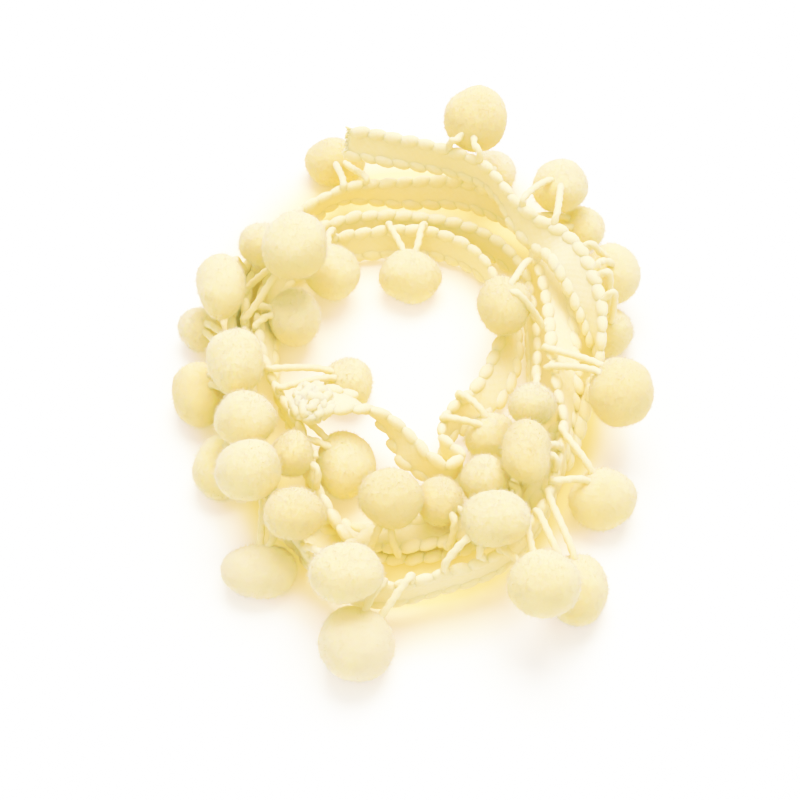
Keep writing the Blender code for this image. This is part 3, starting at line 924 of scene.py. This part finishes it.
@dataclass
class FrayedEnd:
    """The bunch of yarns in which the braid's loose end comes apart.

    The yarns leave the tape in a few strands and lie in arcs over an egg-shaped bunch.
    """

    rim: Rim
    size: tuple = (13.0, 13.0, 8.5)
    down: float = 0.45  # from the rim to the bunch's middle, in braid widths
    past: float = 0.17  # from the braid's end to it, in lengths of the bunch
    sink: float = 1.5
    strands: int = 9
    yarns: int = 34
    radius: float = 1.45
    growth: tuple = (0.85, 1.1)
    taper: float = 0.9
    steps: int = 12
    sweep: float = 0.75  # half of each arc, in radians
    dive: float = 0.6  # how far its ends sink into the bunch, as a share
    seed: int = 5
    hairs: Hairs = Hairs(1400, (0.4, 1.2), 0.05, 0.7, seed=13)

    def build(self) -> bpy.types.Object:
        """Lay the yarns in arcs spread evenly over the bunch and return them as one piece."""
        end, along, width, _ = self.rim.square_at(self.rim.length)
        middle = end - width * BRAID_WIDTH * self.down + along * self.size[0] * self.past
        reach = [size / 2 - self.radius for size in self.size]
        rng = random.Random(self.seed)
        yarns = Tubes(sides=8, groove=0.2, twist=4.0)
        for number in range(self.yarns):
            high = 1.0 - 2.0 * (number + 0.5) / self.yarns
            level = math.sqrt(1.0 - high * high)
            turn = number * math.pi * (3.0 - math.sqrt(5.0))  # the golden angle
            out = Vector((level * math.cos(turn), level * math.sin(turn), high))
            side = out.cross(random_way(rng)).normalized()
            strand = BRAID_WIDTH * (number % self.strands + 0.5) / self.strands
            path = [end - width * strand - along * self.sink, middle - along * self.sink]
            for step in range(self.steps + 1):
                share = 2.0 * step / self.steps - 1.0
                swing = share * self.sweep
                way = out * math.cos(swing) + side * math.sin(swing)
                crown = 1.0 - self.dive * share * share
                offset = Vector([part * size * crown for part, size in zip(way, reach)])
                path.append(middle + offset)
            yarns.add(path, self.radius * rng.uniform(*self.growth), rng.uniform(*ANY_PHASE),
                      self.taper)
        bunch = yarns.piece("braid_frayed_end")
        self.hairs.grow(bunch)
        return bunch


@dataclass
class Braid:
    """The gimp braid: its tape, the yarn along its two edges, its cut end and its frayed end."""

    rim: Rim
    tape_finish: WeaveFinish = WeaveFinish()
    yarn_finish: YarnFinish = YarnFinish("edge_yarn")
    fray_finish: YarnFinish = YarnFinish("frayed_yarn", (0.95, 0.68, 0.30, 1.0),
                                         (0.97, 0.75, 0.39, 1.0))

    def build(self, fringe: Sequence[bpy.types.Object]) -> None:
        """Args:
            fringe: the pompoms' pieces, which hang from it; not used.
        """
        tape = dress(Tape(self.rim).build(), self.tape_finish.material(), YARN_SLOT, "braid")
        yarn = self.yarn_finish.material()
        edges = [dress(piece, yarn, YARN_SLOT)
                 for piece in (EdgeYarn(self.rim).build(), CutEnd(self.rim).build())]
        bunch = FrayedEnd(self.rim).build()
        edges.append(dress(bunch, self.fray_finish.material(), YARN_SLOT))


# ---- the pompoms


class Relief(NamedTuple):
    """One layer of soft noise that moves the surface of the pile in and out."""

    name: str
    size: float  # of its features, in metres
    detail: int
    depth: float  # each way, in millimetres

    def texture(self) -> bpy.types.Texture:
        """Return the noise, which is made once for all the pompoms."""
        clouds = bpy.data.textures.get(self.name) or bpy.data.textures.new(self.name, "CLOUDS")
        clouds.noise_scale = self.size
        clouds.noise_depth = self.detail
        return clouds


@dataclass
class Ball:
    """The body of one pompom: dense pile, a little egg-shaped, with soft lumps and tufts."""

    number: int
    row: Pompom
    settle: float = 0.4  # how far a lying pompom sinks into the floor before it is pressed
    level: float = 0.16  # what lies lower than this on a lying pompom is pressed flat
    skin: float = 0.5  # what the lumps and tufts add to its size
    egg: float = 0.10
    reliefs: tuple = (Relief("lumps", 0.008, 0, 0.7), Relief("tufts", 0.0009, 2, 0.22))
    hairs: Hairs = Hairs(2800, (0.45, 1.25), 0.05, seed=100)

    @property
    def node(self) -> str:
        """The pompom's CAD node."""
        return f"pompom_{self.number:02d}"

    @property
    def centre(self) -> Vector:
        """The pompom's centre on the floor's axes."""
        row = self.row
        height = row.girth / 2 - self.settle if row.z is LYING else row.z
        return Vector((row.x, row.y, height)) + CENTRE_SHIFT

    def reach(self, way: Vector) -> float:
        """Work out how far the pompom's skin is from its centre.

        Args:
            way: the direction, of unit length.

        Returns:
            The distance in that direction.
        """
        heading = math.radians(self.row.heading)
        share = way.x * math.cos(heading) + way.y * math.sin(heading)
        across = math.sqrt(max(0.0, 1.0 - share * share))
        return 1.0 / math.hypot(share / (self.row.length / 2), across / (self.row.girth / 2))

    def press_on_floor(self, ball: bpy.types.Object) -> None:
        """Flatten what lies at or under the floor.

        Args:
            ball: the pompom's body, which is the active object.
        """
        for vertex in ball.data.vertices:
            vertex.select = vertex.co.z < self.level * MM
        for part in (*ball.data.edges, *ball.data.polygons):
            part.select = False
        bpy.ops.object.mode_set(mode="EDIT")
        bpy.ops.mesh.select_mode(type="VERT")
        bpy.ops.transform.resize(value=(1.0, 1.0, 0.0), center_override=(0.0, 0.0, 0.0))
        bpy.ops.mesh.select_all(action="DESELECT")
        bpy.ops.object.mode_set(mode="OBJECT")

    def build(self) -> bpy.types.Object:
        """Model the body, with its place in its mesh, grow its hairs and return it."""
        deselect_all()
        bpy.ops.mesh.primitive_ico_sphere_add(subdivisions=5, radius=0.5 * MM,
                                              location=(0.0, 0.0, 0.0))
        ball = bpy.context.object
        ball.name = f"{self.node}_pile"
        ball.data.name = ball.name
        girth = self.row.girth - self.skin
        ball.scale = (self.row.length - self.skin, girth, girth)
        apply_place()
        modify(ball, "SIMPLE_DEFORM", deform_method="TAPER", deform_axis="X",
               factor=self.egg * (1 if self.number % 2 else -1))
        ball.rotation_euler.z = math.radians(self.row.heading)
        ball.location = self.centre * MM
        apply_place()
        for relief in self.reliefs:
            modify(ball, "DISPLACE", texture=relief.texture(), texture_coords="LOCAL",
                   mid_level=0.5, strength=relief.depth * MM * 2)
        if self.row.z is LYING:
            self.press_on_floor(ball)
        self.hairs.grow(ball, self.number)
        bpy.ops.object.shade_smooth()
        return ball


@dataclass
class Leg:
    """One of the two yarns by which a pompom hangs from the rim."""

    rim: Rim
    ball: Ball
    side: int  # -1 for the leg nearer the cut end, 1 for the other
    radius: float = 0.95
    tail: tuple = (-1.2, -0.5, 0.2)  # how far past the rim its first points lie
    foot: float = 1.0  # how far past the rim its curve starts
    sink: float = 1.4  # how far inside the pompom its curve ends
    arrival: float = 2.5  # how far outside the pompom it heads straight in
    splay: float = 0.22
    stray: float = 0.55
    waver: float = 0.6  # its second bend as a share of its first
    steps: int = 22

    def path(self) -> list[Vector]:
        """Return the leg's points, from inside the rim to inside the pompom."""
        row, centre = self.ball.row, self.ball.centre
        root = self.rim.at(row.root)[0]
        pole = ((root - centre).normalized() + Vector((0.0, 0.0, row.lift))).normalized()
        start, along, width = self.rim.at(row.root + self.side * row.spread / 2)
        splay = self.side * along
        splay = (splay - pole * splay.dot(pole)).normalized()
        way = (pole + splay * self.splay).normalized()
        reach = self.ball.reach(way)
        entry = centre + way * (reach - self.sink)
        arrival = centre + way * (reach + self.arrival)
        foot = start + width * self.foot
        rise = foot + width * row.rise
        rng = random.Random(row.root * 2 + self.side)
        bend = random_way(rng).normalized() * self.stray
        waver = random_way(rng).normalized() * self.stray
        path = [start + width * past for past in self.tail]
        for step in range(self.steps + 1):
            t = step / self.steps
            point = (foot * (1 - t) ** 3 + rise * (3 * t * (1 - t) ** 2)
                     + arrival * (3 * t * t * (1 - t)) + entry * t ** 3)
            ripple = waver * (self.waver * math.sin(2 * math.pi * t))
            path.append(point + bend * math.sin(math.pi * t) + ripple)
        return path


@dataclass
class Fringe:
    """The pompoms and their yarn legs. The pile has one colour; some pompoms get a darker copy of
    it as painted shade and some a paler copy as painted light.
    """

    rim: Rim
    rows: Sequence[Pompom]
    finish: PileFinish = PileFinish()
    # painted shade: a darker copy of the pile for pompoms that should look shaded
    painted_shade_finish: PileFinish = PileFinish("painted_shade_pile", (0.89, 0.578, 0.21, 1.0),
                                         (0.91, 0.60, 0.225, 1.0))
    # painted light: a paler copy of the pile for pompoms that should look lit
    painted_light_finish: PileFinish = PileFinish("painted_light_pile", (0.955, 0.68, 0.31, 1.0),
                                         (0.965, 0.70, 0.33, 1.0))
    leg_finish: YarnFinish = YarnFinish("leg_yarn")
    # which pompoms get the painted-shade copy and which the painted-light copy
    painted_shade_pompoms: tuple = (1, 7, 10, 13, 14, 15, 22, 30, 31, 32)
    painted_light_pompoms: tuple = (5, 8, 11, 20, 34)
    leg_phase: float = 1.3  # what a leg's side adds to the start of its twist
    leg_hairs: Hairs = Hairs(140, (0.3, 0.9), 0.045, 0.7, seed=200)

    def build_legs(self, ball: Ball) -> bpy.types.Object:
        """Make a pompom's two legs.

        Args:
            ball: the pompom's body.

        Returns:
            Both legs as one piece.
        """
        yarns = Tubes()
        for side in (-1, 1):
            leg = Leg(self.rim, ball, side)
            yarns.add(leg.path(), leg.radius, ball.number + side * self.leg_phase)
        legs = yarns.piece(f"{ball.node}_legs")
        self.leg_hairs.grow(legs, ball.number)
        return legs

    def build(self) -> list[bpy.types.Object]:
        """Build and dress every pompom and its legs, and return all the pieces."""
        finishes = (self.finish, self.painted_shade_finish, self.painted_light_finish)
        plain, deep, pale = (finish.material() for finish in finishes)
        yarn = self.leg_finish.material()
        # deep is the painted-shade copy of the pile and pale the painted-light copy
        painted_copies = dict.fromkeys(self.painted_shade_pompoms, deep) | dict.fromkeys(self.painted_light_pompoms, pale)
        made = []
        for number, row in enumerate(self.rows, start=1):
            ball = Ball(number, row)
            made.append(dress(ball.build(), painted_copies.get(number, plain), PILE_SLOT, ball.node))
            made.append(dress(self.build_legs(ball), yarn, YARN_SLOT, ball.node))
        return made


# ---- the studio


class Light(enum.Enum):
    """Where a light stands: its direction and distance from the ring, its size and its power."""

    KEY = ((0.08, 0.42, 1.0), 0.8, 0.6, 12.5)
    FRONT = ((-0.1, -0.6, 1.0), 0.30, 0.25, 0.35)


def stand(data: bpy.types.ID, place: Vector, way: Vector) -> bpy.types.Object:
    """Stand a light or a camera in the studio.

    Args:
        data: the light or the camera.
        place: where it stands, in metres.
        way: the direction from the trim to it, which it faces.

    Returns:
        Its object.
    """
    thing = bpy.data.objects.new(data.name, data)
    thing.location = place
    thing.rotation_mode = "QUATERNION"
    thing.rotation_quaternion = (-way).to_track_quat("-Z", "Y")
    bpy.context.scene.collection.objects.link(thing)
    return thing


@dataclass
class Studio:
    """The pale floor, the soft light and the camera.

    The target and the distance are in millimetres. Each point of the two curves is the scene's
    light and what becomes of it.
    """

    target: tuple = (-2.48, -7.78, 12.0)
    distance: float = 520.0
    elevation: float = 55.0
    lens: float = 88.45
    sensor: float = 36.0
    clip: tuple = (0.01, 20.0)
    floor_size: float = 6.0
    sky: float = 0.66
    white: float = 2.6
    green_toe: tuple = ((0.262, 0.402), (0.362, 0.478), (0.437, 0.552), (0.512, 0.598),
                        (0.598, 0.641), (0.715, 0.73), (0.93, 0.93), (1.3, 1.3), (2.0, 2.0))
    roll_off: tuple = ((0.15, 0.205), (0.35, 0.405), (0.64, 0.65), (1.0, 0.79), (1.5, 0.915),
                       (2.0, 0.98))

    def build_floor(self) -> None:
        """Lay the floor."""
        deselect_all()
        bpy.ops.mesh.primitive_plane_add(size=self.floor_size, location=(0.0, 0.0, 0.0))
        floor = bpy.context.object
        floor.name = "studio_floor"
        floor.data.materials.append(FloorFinish().material())

    def build_lights(self) -> None:
        """Hang the lights and set the even light all round."""
        for light in Light:
            way, distance, size, power = light.value
            data = bpy.data.lights.new(light.name.lower(), "AREA")
            data.energy = power
            data.size = size
            stand(data, Vector(way).normalized() * distance, Vector(way))
        world = bpy.data.worlds.new("studio_air")
        world.use_nodes = True
        sky = world.node_tree.nodes["Background"]
        sky.inputs["Color"].default_value = (1.0, 1.0, 1.0, 1.0)
        sky.inputs["Strength"].default_value = self.sky
        bpy.context.scene.world = world

    def build_camera(self) -> None:
        """Set the camera."""
        tilt = math.radians(self.elevation)
        back = Vector((0.0, -math.cos(tilt), math.sin(tilt)))
        data = bpy.data.cameras.new("camera")
        data.lens = self.lens
        data.sensor_width = self.sensor
        data.clip_start, data.clip_end = self.clip
        place = (Vector(self.target) + back * self.distance) * MM
        bpy.context.scene.camera = stand(data, place, back)

    def expose(self) -> None:
        """Expose brightly, with fresh shades and highlights that roll off softly to white."""
        view = bpy.context.scene.view_settings
        view.view_transform = "Standard"
        view.use_curve_mapping = True
        mapping = view.curve_mapping
        mapping.white_level = (self.white,) * 3
        mapping.extend = "HORIZONTAL"
        _, green, _, combined = mapping.curves
        for light, raised in self.green_toe:
            green.points.new(light / self.white, raised / self.white)
        for light, shown in self.roll_off:
            combined.points.new(light / self.white, shown)
        mapping.update()

    def build(self) -> None:
        """Build the whole studio."""
        self.build_floor()
        self.build_lights()
        self.build_camera()
        self.expose()


def main() -> None:
    """Build the studio, the pompoms and the braid, in that order."""
    logging.basicConfig(level=logging.INFO, format="%(message)s")
    Studio().build()
    fringe = Fringe(Rim(BRAID_ROUTE, 2), POMPOMS).build()
    Braid(Rim(BRAID_ROUTE, 8)).build(fringe)


if __name__ == "__main__":
    main()
